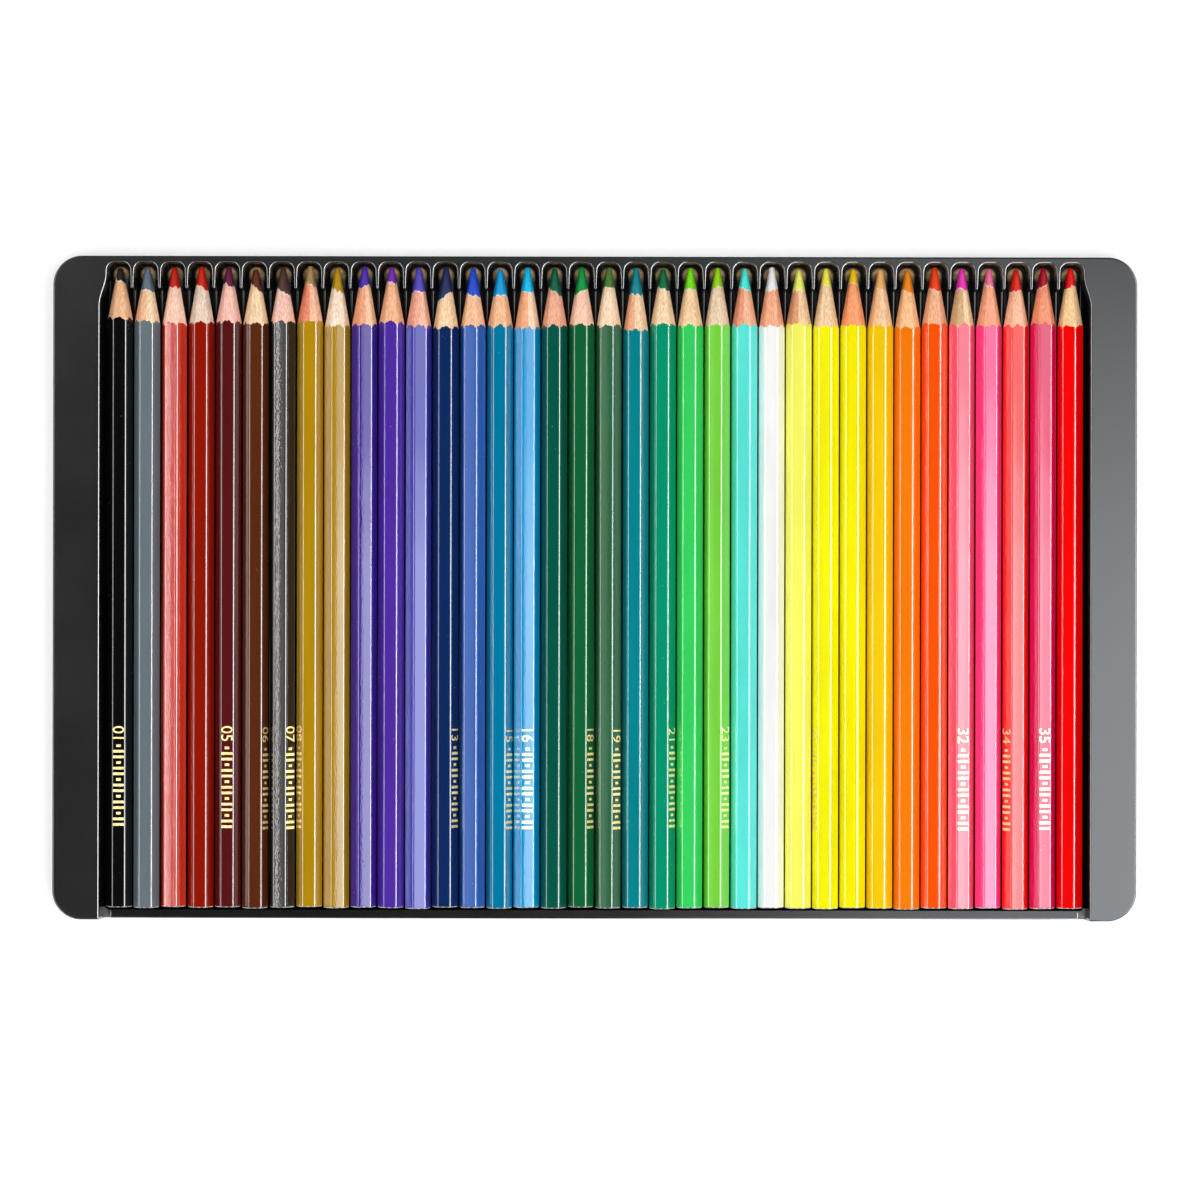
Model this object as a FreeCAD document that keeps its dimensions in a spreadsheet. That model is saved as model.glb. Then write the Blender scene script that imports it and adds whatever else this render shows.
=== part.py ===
import FreeCAD, Part
import Sketcher
import os
from math import radians

os.makedirs("parts", exist_ok=True)

# Driving sizes, in millimetres and degrees
SIZES = (
    ("across_flats", 6.4),
    ("edge_cut", 0.1),
    ("pencil_length", 177),
    ("point_length", 15.8),
    ("tip_width", 0.7),
    ("lead_width", 3.0),
    ("pencil_gap", 0.3),
    ("seat_gap", 0.3),
    ("seat_drop", 0.15),
    ("end_gap", 0.6),
    ("sheet", 0.6),
    ("floor_flat_depth", 0.15),
    ("panel_height", 9),
    ("ridge_drop", 2.2),
    ("ledge_height", 3),
    ("panel_width", 12.3),
    ("side_channel_width", 1.87),
    ("end_notch_width", 2.5),
    ("back_margin", 1.7),
    ("front_margin", 2.6),
    ("tray_corner_radius", 8),
    ("rim_bevel", 0.6),
    ("skirt_draft", 2),
    ("finger_width", 1.1),
    ("finger_length", 7.2),
    ("arch_radius", 2.3),
    ("shoulder_length", 4.2),
    ("butt_corner_cut", 0.9),
    ("cusp_lap", 0.4),
    ("overrun", 3),
)

# Each pencil from left to right: name, roll in degrees, and slide along its pocket
# as a share of the play that the pocket leaves it
PENCILS_AND_SLIDE_SHARES = (
    ("black", 2, 0.1),
    ("slate_blue", -1, -0.2),
    ("brick_red", -14, 0.3),
    ("dark_red", -1, 0.0),
    ("maroon", 0, 0.2),
    ("dark_brown", 5, -0.3),
    ("umber", -13, 0.1),
    ("ochre_gold", 1, 0.4),
    ("ochre", 10, -0.1),
    ("violet_blue", 9, 0.2),
    ("purple", -1, 0.0),
    ("blue_violet", 10, -0.4),
    ("navy", -3, 0.3),
    ("cobalt", -13, 0.1),
    ("cerulean", -2, -0.2),
    ("azure", 7, 0.2),
    ("pine_green", -5, -0.1),
    ("green", -6, 0.4),
    ("olive_green", -12, 0.0),
    ("teal", -8, 0.2),
    ("emerald", -5, -0.3),
    ("bright_green", -6, 0.1),
    ("yellow_green", -13, 0.3),
    ("turquoise", -6, -0.1),
    ("white", -3, 0.2),
    ("lemon", -4, 0.0),
    ("yellow", -8, -0.2),
    ("golden_yellow", -9, 0.3),
    ("amber", -9, 0.1),
    ("orange", -7, -0.3),
    ("red_orange", -4, 0.2),
    ("pink", 7, 0.0),
    ("hot_pink", 6, 0.3),
    ("scarlet", 6, -0.2),
    ("crimson", 6, 0.1),
    ("red", -13, 0.2),
)

PENCIL_COUNT = len(PENCILS_AND_SLIDE_SHARES)
FULL_TURN = 360
QUARTER_TURN = 90
HEX_SIDES = 6
POINT_SIDES = 12
UNDER_FLATS = 5
TOUCH = 1e-6
ALONG_Y = FreeCAD.Vector(0, 1, 0)
ALONG_Z = FreeCAD.Vector(0, 0, 1)

# Sizes that follow from the driving sizes, as expressions
EDGE_REACH = "(Sizes.across_flats / (2 * cos(30)) - Sizes.edge_cut)"
PITCH = f"(2 * {EDGE_REACH} + Sizes.pencil_gap)"
CHANNEL_RADIUS = f"({EDGE_REACH} + Sizes.seat_gap)"
CHANNEL_AXIS_HEIGHT = f"({CHANNEL_RADIUS} + Sizes.sheet - Sizes.floor_flat_depth)"
RIDGE_HEIGHT = f"({CHANNEL_AXIS_HEIGHT} - Sizes.ridge_drop)"
PENCIL_AXIS_HEIGHT = f"({CHANNEL_AXIS_HEIGHT} - Sizes.seat_drop)"
POCKET_LENGTH = "(Sizes.pencil_length + 2 * Sizes.end_gap)"
TRAY_DEPTH = f"({POCKET_LENGTH} + Sizes.back_margin + Sizes.front_margin)"
RECESS_REACH = f"({PENCIL_COUNT} * {PITCH} / 2 + Sizes.side_channel_width)"
TRAY_REACH = f"({RECESS_REACH} + Sizes.panel_width)"
POCKET_BACK = f"({TRAY_DEPTH} / 2 - Sizes.back_margin)"
POCKET_FRONT = f"({POCKET_BACK} - {POCKET_LENGTH})"
POCKET_MIDDLE = f"({POCKET_BACK} - {POCKET_LENGTH} / 2)"
CHANNEL_BACK = f"({POCKET_BACK} - Sizes.arch_radius)"
FINGER_END = f"({POCKET_BACK} - Sizes.finger_length)"
RECESS_FRONT = f"({POCKET_FRONT} + Sizes.butt_corner_cut - Sizes.cusp_lap)"
FIRST_CHANNEL = f"(-{PENCIL_COUNT - 1} * {PITCH} / 2)"
ARCH_REACH = f"(({PITCH} - Sizes.finger_width) / 2)"
NECK_REACH = f"({ARCH_REACH} - {FIRST_CHANNEL})"
PENCIL_BUTT = "(Sizes.pencil_length / 2)"

doc = FreeCAD.newDocument("pencil_box")
sheet = doc.addObject("Spreadsheet::Sheet", "Sizes")
for row, (alias, value) in enumerate(SIZES, start=1):
    sheet.set(f"A{row}", alias)
    sheet.set(f"B{row}", str(value))
    sheet.setAlias(f"B{row}", alias)
doc.recompute()


def new_body(name):
    body = doc.addObject("PartDesign::Body", name)
    body.AllowCompound = True
    return body


def origin_feature(body, role):
    return next(item for item in body.Origin.OriginFeatures if item.Role == role)


def new_sketch(body, name, plane, height="0"):
    """A sketch on one of the body's own origin planes, moved along its normal."""
    sketch = body.newObject("Sketcher::SketchObject", name)
    sketch.AttachmentSupport = [(origin_feature(body, plane), "")]
    sketch.MapMode = "FlatFace"
    sketch.setExpression("AttachmentOffset.Base.z", height)
    return sketch


def bind(sketch, kind, elements, expression):
    """Add a dimension and tie it to an expression of the sheet."""
    value = sketch.evalExpression(expression)
    number = sketch.addConstraint(Sketcher.Constraint(kind, *elements, float(value)))
    sketch.setExpression(f"Constraints[{number}]", expression)


def place_point(sketch, element, point, x, y):
    """Hold a point of the sketch at x, y from its origin."""
    bind(sketch, "DistanceX", (-1, 1, element, point), x)
    bind(sketch, "DistanceY", (-1, 1, element, point), y)


def vector_of(sketch, x, y):
    return FreeCAD.Vector(float(sketch.evalExpression(x)), float(sketch.evalExpression(y)), 0)


def add_polygon(sketch, corners):
    """Closed straight outline through corners given as pairs of expressions."""
    points = [vector_of(sketch, x, y) for x, y in corners]
    count = len(points)
    for index, start in enumerate(points):
        sketch.addGeometry(Part.LineSegment(start, points[(index + 1) % count]))
    for index, (x, y) in enumerate(corners):
        sketch.addConstraint(Sketcher.Constraint("Coincident", index, 2, (index + 1) % count, 1))
        place_point(sketch, index, 1, x, y)


def add_box_outline(sketch, left, right, front, back):
    add_polygon(sketch, ((left, front), (right, front), (right, back), (left, back)))


def add_rounded_rectangle(sketch, left, right, front, back, radius):
    """Rectangle with round corners, its sides and radius given as expressions."""
    low = vector_of(sketch, left, front)
    high = vector_of(sketch, right, back)
    size = float(sketch.evalExpression(radius))
    along_x = FreeCAD.Vector(size, 0, 0)
    along_y = FreeCAD.Vector(0, size, 0)
    corners = (
        (FreeCAD.Vector(high.x, low.y, 0), -1, 1, 270),
        (high, -1, -1, 0),
        (FreeCAD.Vector(low.x, high.y, 0), 1, -1, 90),
        (low, 1, 1, 180),
    )
    sides = (
        (low + along_x, corners[0][0] - along_x),
        (corners[0][0] + along_y, high - along_y),
        (high - along_x, corners[2][0] + along_x),
        (corners[2][0] - along_y, low + along_y),
    )
    for start, end in sides:
        sketch.addGeometry(Part.LineSegment(start, end))
    for corner, to_x, to_y, start_angle in corners:
        centre = corner + along_x * to_x + along_y * to_y
        circle = Part.Circle(centre, ALONG_Z, size)
        end_angle = start_angle + QUARTER_TURN
        sketch.addGeometry(Part.ArcOfCircle(circle, radians(start_angle), radians(end_angle)))
    for side in range(4):
        arc = side + 4
        sketch.addConstraint(Sketcher.Constraint("Tangent", side, 2, arc, 1))
        sketch.addConstraint(Sketcher.Constraint("Tangent", arc, 2, (side + 1) % 4, 1))
    sketch.addConstraint(Sketcher.Constraint("Horizontal", 0))
    sketch.addConstraint(Sketcher.Constraint("Vertical", 1))
    for arc in (5, 6, 7):
        sketch.addConstraint(Sketcher.Constraint("Equal", 4, arc))
    bind(sketch, "Radius", (4,), radius)
    bind(sketch, "DistanceY", (-1, 1, 0, 1), front)
    bind(sketch, "DistanceX", (-1, 1, 1, 1), right)
    bind(sketch, "DistanceY", (-1, 1, 2, 1), back)
    bind(sketch, "DistanceX", (-1, 1, 3, 1), left)


def add_shouldered_outline(sketch, reach, neck_reach, front, shoulder, back):
    """Outline that narrows from reach to neck_reach through a pair of equal arcs a side."""
    foot = vector_of(sketch, reach, shoulder)
    head = vector_of(sketch, neck_reach, back)
    step_in = foot.x - head.x
    rise = head.y - foot.y
    radius = (step_in ** 2 + rise ** 2) / (4 * step_in)
    front_corner = vector_of(sketch, reach, front)
    half_way = (foot + head) / 2
    foot_centre = foot - FreeCAD.Vector(radius, 0, 0)
    head_centre = head + FreeCAD.Vector(radius, 0, 0)

    def bulge_towards(centre, end):
        return centre + ((half_way + end) / 2 - centre).normalize() * radius

    def mirrored(vector):
        return FreeCAD.Vector(-vector.x, vector.y, 0)

    lower = bulge_towards(foot_centre, foot)
    upper = bulge_towards(head_centre, head)
    sketch.addGeometry(Part.LineSegment(mirrored(front_corner), front_corner))
    sketch.addGeometry(Part.LineSegment(front_corner, foot))
    sketch.addGeometry(Part.Arc(foot, lower, half_way))
    sketch.addGeometry(Part.Arc(half_way, upper, head))
    sketch.addGeometry(Part.LineSegment(head, mirrored(head)))
    sketch.addGeometry(Part.Arc(mirrored(head), mirrored(upper), mirrored(half_way)))
    sketch.addGeometry(Part.Arc(mirrored(half_way), mirrored(lower), mirrored(foot)))
    sketch.addGeometry(Part.LineSegment(mirrored(foot), mirrored(front_corner)))
    for constraint in (
        ("Coincident", 0, 2, 1, 1),
        ("Tangent", 1, 2, 2, 1),
        ("Tangent", 2, 2, 3, 2),
        ("Perpendicular", 3, 1, 4, 1),
        ("Perpendicular", 4, 2, 5, 2),
        ("Tangent", 5, 1, 6, 1),
        ("Tangent", 6, 2, 7, 1),
        ("Coincident", 7, 2, 0, 1),
        ("Horizontal", 0),
        ("Vertical", 1),
        ("Horizontal", 4),
        ("Vertical", 7),
        ("Equal", 2, 3),
        ("Equal", 5, 6),
    ):
        sketch.addConstraint(Sketcher.Constraint(*constraint))
    place_point(sketch, 1, 2, reach, shoulder)
    place_point(sketch, 4, 1, neck_reach, back)
    bind(sketch, "DistanceX", (-1, 1, 4, 2), f"-{neck_reach}")
    bind(sketch, "DistanceX", (-1, 1, 7, 1), f"-{reach}")
    bind(sketch, "DistanceY", (-1, 1, 7, 1), shoulder)
    bind(sketch, "DistanceY", (-1, 1, 0, 1), front)


def cut_upwards(body, name, sketch):
    """Cut the sketch out of the body from the sketch's plane to above the top."""
    pocket = body.newObject("PartDesign::Pocket", name)
    pocket.Profile = sketch
    pocket.Type = "ThroughAll"
    pocket.Reversed = True
    doc.recompute()
    return pocket


def cut_recess(body, name, inset, front):
    """The open recess that holds the pencils, down to the ridges between them."""
    recess = new_sketch(body, f"{name}_recess", "XY_Plane", f"{RIDGE_HEIGHT} - {inset}")
    add_shouldered_outline(
        recess,
        f"({RECESS_REACH} + {inset})",
        f"({NECK_REACH} + {inset})",
        front,
        f"({FINGER_END} - Sizes.shoulder_length + {inset})",
        f"({FINGER_END} + {inset})",
    )
    cut_upwards(body, f"{name}_recess_cut", recess)


def cut_ledge(body, name, inset, ledge_back):
    """The space over the front ledge, and the lower notches at the ledge's two ends."""
    front = f"(-{TRAY_DEPTH} / 2 - Sizes.overrun)"
    outer = f"({RECESS_REACH} + {inset})"
    inner = f"({RECESS_REACH} - Sizes.end_notch_width - {inset})"
    notch_back = f"({ledge_back} + Sizes.overrun)"
    over_ledge = new_sketch(body, f"{name}_over_ledge", "XY_Plane", f"Sizes.ledge_height - {inset}")
    add_box_outline(over_ledge, f"-{outer}", outer, front, ledge_back)
    cut_upwards(body, f"{name}_over_ledge_cut", over_ledge)
    for side, left, right in (("left", f"-{outer}", f"-{inner}"), ("right", inner, outer)):
        notch = new_sketch(body, f"{name}_{side}_notch", "XY_Plane", f"{RIDGE_HEIGHT} - {inset}")
        add_box_outline(notch, left, right, front, notch_back)
        cut_upwards(body, f"{name}_{side}_notch_cut", notch)


def cut_channel(body, name):
    """The round-bottomed channel under the first pencil, up to the ridges beside it."""
    section = new_sketch(body, f"{name}_channel", "XZ_Plane", f"-{CHANNEL_BACK}")
    half_width = f"sqrt({CHANNEL_RADIUS} ^ 2 - ({CHANNEL_AXIS_HEIGHT} - {RIDGE_HEIGHT}) ^ 2)"
    left = (f"({FIRST_CHANNEL} - {half_width})", RIDGE_HEIGHT)
    right = (f"({FIRST_CHANNEL} + {half_width})", RIDGE_HEIGHT)
    bottom = (FIRST_CHANNEL, f"({CHANNEL_AXIS_HEIGHT} - {CHANNEL_RADIUS})")
    left_point, right_point, lowest = (vector_of(section, x, y) for x, y in (left, right, bottom))
    section.addGeometry(Part.LineSegment(right_point, left_point))
    section.addGeometry(Part.Arc(left_point, lowest, right_point))
    section.addConstraint(Sketcher.Constraint("Coincident", 0, 2, 1, 1))
    section.addConstraint(Sketcher.Constraint("Coincident", 1, 2, 0, 1))
    place_point(section, 0, 1, *right)
    place_point(section, 0, 2, *left)
    bind(section, "Radius", (1,), CHANNEL_RADIUS)
    return cut_forwards(body, f"{name}_channel_cut", section, f"{CHANNEL_BACK} - {POCKET_FRONT}")


def cut_under_channel(body, name, inset):
    """The same channel's underside, one inset lower, as a row of flats."""
    section = new_sketch(body, f"{name}_channel", "XZ_Plane", f"-({CHANNEL_BACK} + {inset})")
    radius = f"({CHANNEL_RADIUS} + {inset})"
    reach = f"acos(({CHANNEL_AXIS_HEIGHT} - {RIDGE_HEIGHT} + {inset}) / {radius})"
    corners = []
    for number in range(UNDER_FLATS + 1):
        angle = f"({reach} * {2 * number / UNDER_FLATS - 1})"
        x = f"({FIRST_CHANNEL} + {radius} * sin({angle}))"
        y = f"({CHANNEL_AXIS_HEIGHT} - {radius} * cos({angle}))"
        corners.append((x, y))
    add_polygon(section, corners)
    length = f"{CHANNEL_BACK} - {POCKET_FRONT} + 2 * {inset}"
    return cut_forwards(body, f"{name}_channel_cut", section, length)


def cut_forwards(body, name, section, length):
    """Cut an upright section from its place at the back towards the front."""
    channel = body.newObject("PartDesign::Pocket", name)
    channel.Profile = section
    channel.Type = "Length"
    channel.Reversed = True
    channel.setExpression("Length", length)
    doc.recompute()
    return channel


def cut_arch(body):
    """The round-cornered pocket between two fingers, round the first pencil's point."""
    arch = new_sketch(body, "arch", "XY_Plane", RIDGE_HEIGHT)
    add_rounded_rectangle(
        arch,
        f"({FIRST_CHANNEL} - {ARCH_REACH})",
        f"({FIRST_CHANNEL} + {ARCH_REACH})",
        f"({FINGER_END} - Sizes.arch_radius - Sizes.overrun)",
        POCKET_BACK,
        "Sizes.arch_radius",
    )
    return cut_upwards(body, "arch_cut", arch)


def cut_butt_pocket(body):
    """The pocket at the first pencil's flat end, whose cut corners leave cusps."""
    butt = new_sketch(body, "butt_pocket", "XY_Plane", RIDGE_HEIGHT)
    left = f"({FIRST_CHANNEL} - {PITCH} / 2 - Sizes.cusp_lap)"
    right = f"({FIRST_CHANNEL} + {PITCH} / 2 + Sizes.cusp_lap)"
    back = f"({RECESS_FRONT} + Sizes.overrun)"
    corner = f"({POCKET_FRONT} + Sizes.butt_corner_cut)"
    corners = (
        (left, back),
        (left, corner),
        (f"({left} + Sizes.butt_corner_cut)", POCKET_FRONT),
        (f"({right} - Sizes.butt_corner_cut)", POCKET_FRONT),
        (right, corner),
        (right, back),
    )
    add_polygon(butt, corners)
    return cut_upwards(body, "butt_pocket_cut", butt)


def repeat_across(body, name, features):
    """Repeat the first pencil's cuts for every pencil."""
    row = body.newObject("PartDesign::LinearPattern", name)
    row.Originals = features
    row.Direction = (origin_feature(body, "X_Axis"), [""])
    row.setExpression("Length", f"{PENCIL_COUNT - 1} * {PITCH}")
    row.Occurrences = PENCIL_COUNT
    body.Tip = row
    doc.recompute()


def edges_at_height(shape, height):
    """Names of the edges that lie wholly at a height."""
    return [
        f"Edge{number}"
        for number, edge in enumerate(shape.Edges, start=1)
        if all(abs(vertex.Z - height) < TOUCH for vertex in edge.Vertexes)
    ]


def tray_block(name, inset):
    """The tray's outer block with drafted sides, moved inwards by the inset."""
    body = new_body(name)
    outline = new_sketch(body, f"{name}_outline", "XY_Plane")
    side = f"({TRAY_REACH} - {inset})"
    end = f"({TRAY_DEPTH} / 2 - {inset})"
    corner = f"(Sizes.tray_corner_radius - {inset})"
    add_rounded_rectangle(outline, f"-{side}", side, f"-{end}", end, corner)
    block = body.newObject("PartDesign::Pad", f"{name}_block")
    block.Profile = outline
    block.setExpression("Length", f"Sizes.panel_height - {inset}")
    block.setExpression("TaperAngle", "-Sizes.skirt_draft")
    doc.recompute()
    return body


def tray_top():
    """Everything under the tray's upper surface, as if the tray were solid."""
    body = tray_block("top_form", "0")
    block = body.Tip
    rim = body.newObject("PartDesign::Chamfer", "rim")
    rim.Base = (block, edges_at_height(block.Shape, block.Length.Value))
    rim.setExpression("Size", "Sizes.rim_bevel")
    doc.recompute()
    cut_recess(body, "top", "0", RECESS_FRONT)
    cut_ledge(body, "top", "0", RECESS_FRONT)
    cuts = [cut_arch(body), cut_butt_pocket(body), cut_channel(body, "top")]
    repeat_across(body, "pockets", cuts)
    return body


def tray_hollow():
    """The open space on the tray's underside, one sheet thickness from the top form."""
    inset = "Sizes.sheet"
    body = tray_block("under_form", inset)
    front = f"({POCKET_FRONT} - {inset})"
    cut_recess(body, "under", inset, front)
    cut_ledge(body, "under", inset, POCKET_FRONT)
    tips = new_sketch(body, "under_tips", "XY_Plane", f"{RIDGE_HEIGHT} - {inset}")
    reach = f"({NECK_REACH} + {inset})"
    add_box_outline(tips, f"-{reach}", reach, FINGER_END, f"({POCKET_BACK} + {inset})")
    cut_upwards(body, "under_tips_cut", tips)
    repeat_across(body, "under_channels", [cut_under_channel(body, "under", inset)])
    return body


def add_regular_outline(sketch, sides, reach):
    """Regular polygon about the sketch's origin, its corners at the reach and a side on top."""
    corners = []
    for number in range(sides):
        angle = (number + 1 / 2) * FULL_TURN / sides
        corners.append((f"({reach} * cos({angle}))", f"({reach} * sin({angle}))"))
    add_polygon(sketch, corners)


def pencil_bar():
    """The hexagonal bar of two glued slats, its long edges taken down, bored for the lead."""
    body = new_body("casing")
    section = new_sketch(body, "bar_section", "XZ_Plane", PENCIL_BUTT)
    flat = "Sizes.across_flats / 2"
    half_side = "(Sizes.across_flats / 2 * tan(30) - Sizes.edge_cut / sin(30))"
    corners = []
    for side in range(HEX_SIDES):
        turn = side * FULL_TURN / HEX_SIDES
        for along in (half_side, f"-{half_side}"):
            x = f"({along} * cos({turn}) - {flat} * sin({turn}))"
            y = f"({along} * sin({turn}) + {flat} * cos({turn}))"
            corners.append((x, y))
    add_polygon(section, corners)
    pad_along(body, "bar", section)

    bore = new_sketch(body, "bore_section", "XZ_Plane", PENCIL_BUTT)
    add_regular_outline(bore, POINT_SIDES, "Sizes.lead_width / 2")
    bored = body.newObject("PartDesign::Pocket", "bore")
    bored.Profile = bore
    bored.Type = "ThroughAll"
    bored.Reversed = False
    doc.recompute()
    sharpen(body, "casing")
    return body


def lead_rod():
    """The coloured lead, as long as the pencil and sharpened with it."""
    body = new_body("lead")
    section = new_sketch(body, "rod_section", "XZ_Plane", PENCIL_BUTT)
    add_regular_outline(section, POINT_SIDES, "Sizes.lead_width / 2")
    pad_along(body, "rod", section)
    sharpen(body, "lead")
    return body


def pad_along(body, name, section):
    """Pad a section from the butt end to the tip."""
    pad = body.newObject("PartDesign::Pad", name)
    pad.Profile = section
    pad.setExpression("Length", "Sizes.pencil_length")
    pad.Reversed = True
    doc.recompute()


def sharpen(body, name):
    """Slant the tip end with one flat cut, repeated round the pencil."""
    side = new_sketch(body, f"{name}_shaving", "YZ_Plane")
    outside = f"({EDGE_REACH} + Sizes.overrun)"
    beyond = f"({PENCIL_BUTT} + Sizes.overrun)"
    shoulder = f"({PENCIL_BUTT} - Sizes.point_length)"
    corners = (
        (PENCIL_BUTT, "Sizes.tip_width / 2"),
        (beyond, "Sizes.tip_width / 2"),
        (beyond, outside),
        (shoulder, outside),
        (shoulder, EDGE_REACH),
    )
    add_polygon(side, corners)
    shaving = body.newObject("PartDesign::Pocket", f"{name}_shaved")
    shaving.Profile = side
    shaving.Type = "ThroughAll"
    shaving.Midplane = True
    doc.recompute()
    turns = body.newObject("PartDesign::PolarPattern", f"{name}_sharpened")
    turns.Originals = [shaving]
    turns.Axis = (origin_feature(body, "Y_Axis"), [""])
    turns.Angle = FULL_TURN
    turns.Occurrences = POINT_SIDES
    body.Tip = turns
    doc.recompute()


def place_pencil(number, name, roll, slide_share, pieces):
    """One pencil lying in its channel, rolled about its own length."""
    pencil = doc.addObject("Part::Compound", f"pencil_{number:02d}_{name}")
    pencil.Links = pieces
    pencil.Placement = FreeCAD.Placement(FreeCAD.Vector(), FreeCAD.Rotation(ALONG_Y, roll))
    pencil.setExpression("Placement.Base.x", f"{FIRST_CHANNEL} + {number - 1} * {PITCH}")
    pencil.setExpression("Placement.Base.y", f"{POCKET_MIDDLE} + {slide_share} * Sizes.end_gap")
    pencil.setExpression("Placement.Base.z", PENCIL_AXIS_HEIGHT)
    return pencil


def check_document():
    for item in doc.Objects:
        if {"Invalid", "Error"} & set(item.State):
            raise RuntimeError(f"{item.Label} failed to recompute: {item.State}")


def check_shape(item, solid_count):
    shape = item.Shape
    if shape.isNull() or not shape.isValid():
        raise RuntimeError(f"{item.Label} has no valid shape")
    if len(shape.Solids) != solid_count:
        raise RuntimeError(f"{item.Label} has {len(shape.Solids)} solids instead of {solid_count}")


tray = doc.addObject("Part::Cut", "tray")
tray.Base = tray_top()
tray.Tool = tray_hollow()

pencil_pieces = [pencil_bar(), lead_rod()]
pencils = [
    place_pencil(number, name, roll, slide_share, pencil_pieces)
    for number, (name, roll, slide_share) in enumerate(PENCILS_AND_SLIDE_SHARES, start=1)
]
doc.recompute()

check_document()
check_shape(tray, 1)
tray.Shape.exportStep("parts/tray.step")
for pencil in pencils:
    check_shape(pencil, len(pencil_pieces))
    pencil.Shape.exportStep(f"parts/{pencil.Label}.step")

print("Tray volume", round(tray.Shape.Volume), "casing", round(pencil_pieces[0].Shape.Volume))
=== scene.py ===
from math import cos, hypot, pi, radians, sin, sqrt, tan
from random import Random

import bpy
from mathutils import Matrix, Vector


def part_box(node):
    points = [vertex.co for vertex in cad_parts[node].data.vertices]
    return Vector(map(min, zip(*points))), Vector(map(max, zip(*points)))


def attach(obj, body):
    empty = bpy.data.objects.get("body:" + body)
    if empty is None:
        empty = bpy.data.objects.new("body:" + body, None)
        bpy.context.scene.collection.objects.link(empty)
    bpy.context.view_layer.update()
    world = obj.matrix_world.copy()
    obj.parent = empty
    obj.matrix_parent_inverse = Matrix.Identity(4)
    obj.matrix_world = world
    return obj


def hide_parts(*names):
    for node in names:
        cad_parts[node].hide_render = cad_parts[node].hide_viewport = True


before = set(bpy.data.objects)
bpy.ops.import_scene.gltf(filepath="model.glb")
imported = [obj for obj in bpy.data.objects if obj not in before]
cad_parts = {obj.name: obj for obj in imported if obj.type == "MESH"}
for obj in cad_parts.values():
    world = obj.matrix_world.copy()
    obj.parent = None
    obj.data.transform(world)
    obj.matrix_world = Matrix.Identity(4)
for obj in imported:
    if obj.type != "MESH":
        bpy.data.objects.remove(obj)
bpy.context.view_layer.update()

MM = 0.001
FULL_TURN = 360
HEX_SIDES = 6
FACE_TURN = FULL_TURN / HEX_SIDES

# The pencils' sizes, in metres
ACROSS_FLATS = 6.4 * MM
EDGE_RADIUS = 0.8 * MM
TIP_RADIUS = 0.66 * MM
TIP_ROUND = 0.35 * MM
TIP_RING_WIDTH_SHARE = 0.75
TIP_RING_DROP_SHARE = 0.35
TIP_WEAR_RANGE_MM = (0.2, 0.9)
LEAD_RADIUS = 1.56 * MM
LEAD_SLANT = 0.9 * MM
RIM_WIDTH = 0.26 * MM
LEAD_TOOTH = 0.5 * MM
RIM_TOOTH = 0.16 * MM
PAINT_TOOTH = 0.34 * MM
FLAT_POINT_LENGTH = 16.0 * MM
SCALLOP_DEPTH = 0.75 * MM
PAINT_FILM = 0.05 * MM
FACE_CROWN = 0.016 * MM
BUTT_BEVEL = 0.2 * MM
HALF_FLAT = (ACROSS_FLATS / 2 - EDGE_RADIUS) * tan(radians(FACE_TURN / 2))
EDGE_CENTRE = (ACROSS_FLATS / 2 - EDGE_RADIUS) / cos(radians(FACE_TURN / 2))
EDGE_REACH = EDGE_CENTRE + EDGE_RADIUS

# The gold mark's sizes, in metres, and its bars' reach as shares of the digits' height
MARK_START = -38.5 * MM
MARK_SIZE = 4.5 * MM
MARK_BARS = 15
MARK_BAR_WIDTH = 0.7 * MM
MARK_BAR_PITCH = 1.55 * MM
LONG_BAR_SHARES = (0.02, 0.98)
SHORT_BAR_SHARES = (0.3, 0.7)
FOIL_FILM = 0.04 * MM

# The tray's sizes, in metres
TRAY_CORNER_RADIUS = 8 * MM
PANEL_WIDTH = 12.8 * MM
BACK_MARGIN = 1.7 * MM
FRONT_MARGIN = 2.6 * MM
RIDGE_HEIGHT = 2.145 * MM
LEDGE_HEIGHT = 3 * MM
CHANNEL_RADIUS = 3.895 * MM
CHANNEL_AXIS_HEIGHT = 4.345 * MM
BOWL_LENGTH = 4.8 * MM
BOWL_REACH = 3.6 * MM
BOWL_TOP = 3.4 * MM
END_NOTCH_WIDTH = 2.5 * MM
FRONT_LIP = 0.6 * MM
FINGER_WIDTH = 1.13 * MM
FINGER_TIP_WIDTH = 0.72 * MM
FINGER_LENGTH = 7.2 * MM
FINGER_BULGE_SHARE = 0.35
ARCH_RADIUS = 2.3 * MM
SHOULDER_LENGTH = 8.7 * MM
SHOULDER_DROP = 4.75 * MM
BUTT_SCALLOP = 0.9 * MM
CUSP_SHARE = 0.8
EDGE_FILLET = 0.36 * MM
FINGER_FILLET = 0.2 * MM
RIM_FILLET = 0.45 * MM
LEDGE_FILLET = 0.25 * MM
NOTCH_FILLET = 1.1 * MM
WALL_DRAFT = 3
SKIRT_DRAFT = 2
SHEET = 0.45 * MM
FINGER_SHEET = 0.2 * MM
CREST = 0.16 * MM
SIDE_CHANNEL_DEPTH = 1.0 * MM
SIDE_WALL_DIVISOR = 3
TUCK = 0.1 * MM
MITRE_LIMIT = 0.35

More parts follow.
